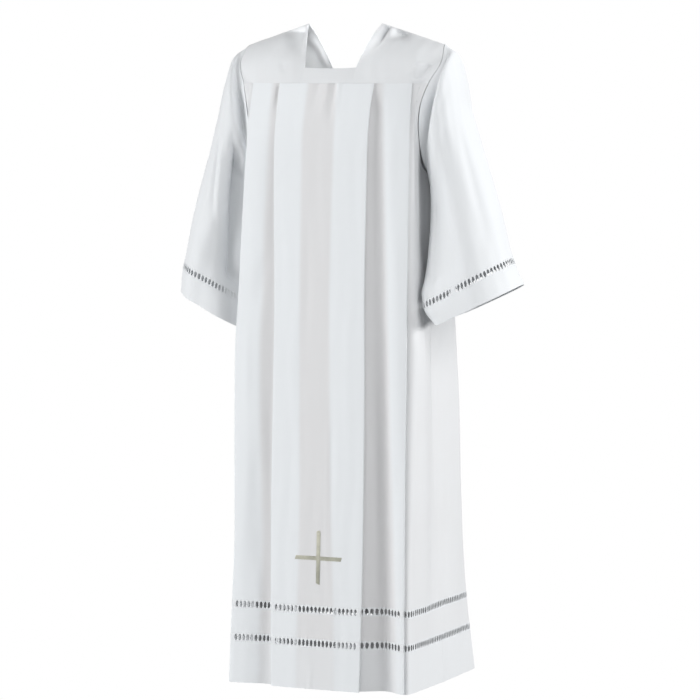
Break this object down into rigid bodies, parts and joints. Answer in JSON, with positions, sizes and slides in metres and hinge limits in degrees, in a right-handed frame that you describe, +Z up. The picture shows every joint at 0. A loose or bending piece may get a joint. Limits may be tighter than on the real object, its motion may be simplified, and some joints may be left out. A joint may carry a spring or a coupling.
{
  "type": "alb robe",
  "caption": "Long white alb robe, hollow as worn, with a square neckline, pressed pleats, wide sleeves, openwork bands above cuffs and hem, and a small embroidered cross.",
  "frame": {"origin": "midway between the two points where the shoulder seams meet the neckline, level with them", "axes": "+Z up, +X towards the wearer's left, the front of the robe faces -Y"},
  "size_m": [0.8081, 0.4092, 1.4506],
  "materials": {
    "cloth": "matt white plain-weave cloth",
    "openwork": "white hemstitched openwork in the same cloth",
    "thread": "dull grey-gold embroidery thread"
  },
  "bodies": {
    "root": {"yoke_front": "cloth", "yoke_back": "cloth", "skirt_front": "cloth", "skirt_back": "cloth", "skirt_band_front": "cloth", "skirt_band_back": "cloth", "hem_front": "cloth", "hem_back": "cloth", "sleeve_left": "cloth", "sleeve_right": "cloth", "cuff_hem_left": "cloth", "cuff_hem_right": "cloth", "openwork_upper_front": "openwork", "openwork_upper_back": "openwork", "openwork_lower_front": "openwork", "openwork_lower_back": "openwork", "cuff_openwork_left_front": "openwork", "cuff_openwork_left_back": "openwork", "cuff_openwork_right_front": "openwork", "cuff_openwork_right_back": "openwork", "front_cross": "thread"}
  },
  "joints": []
}
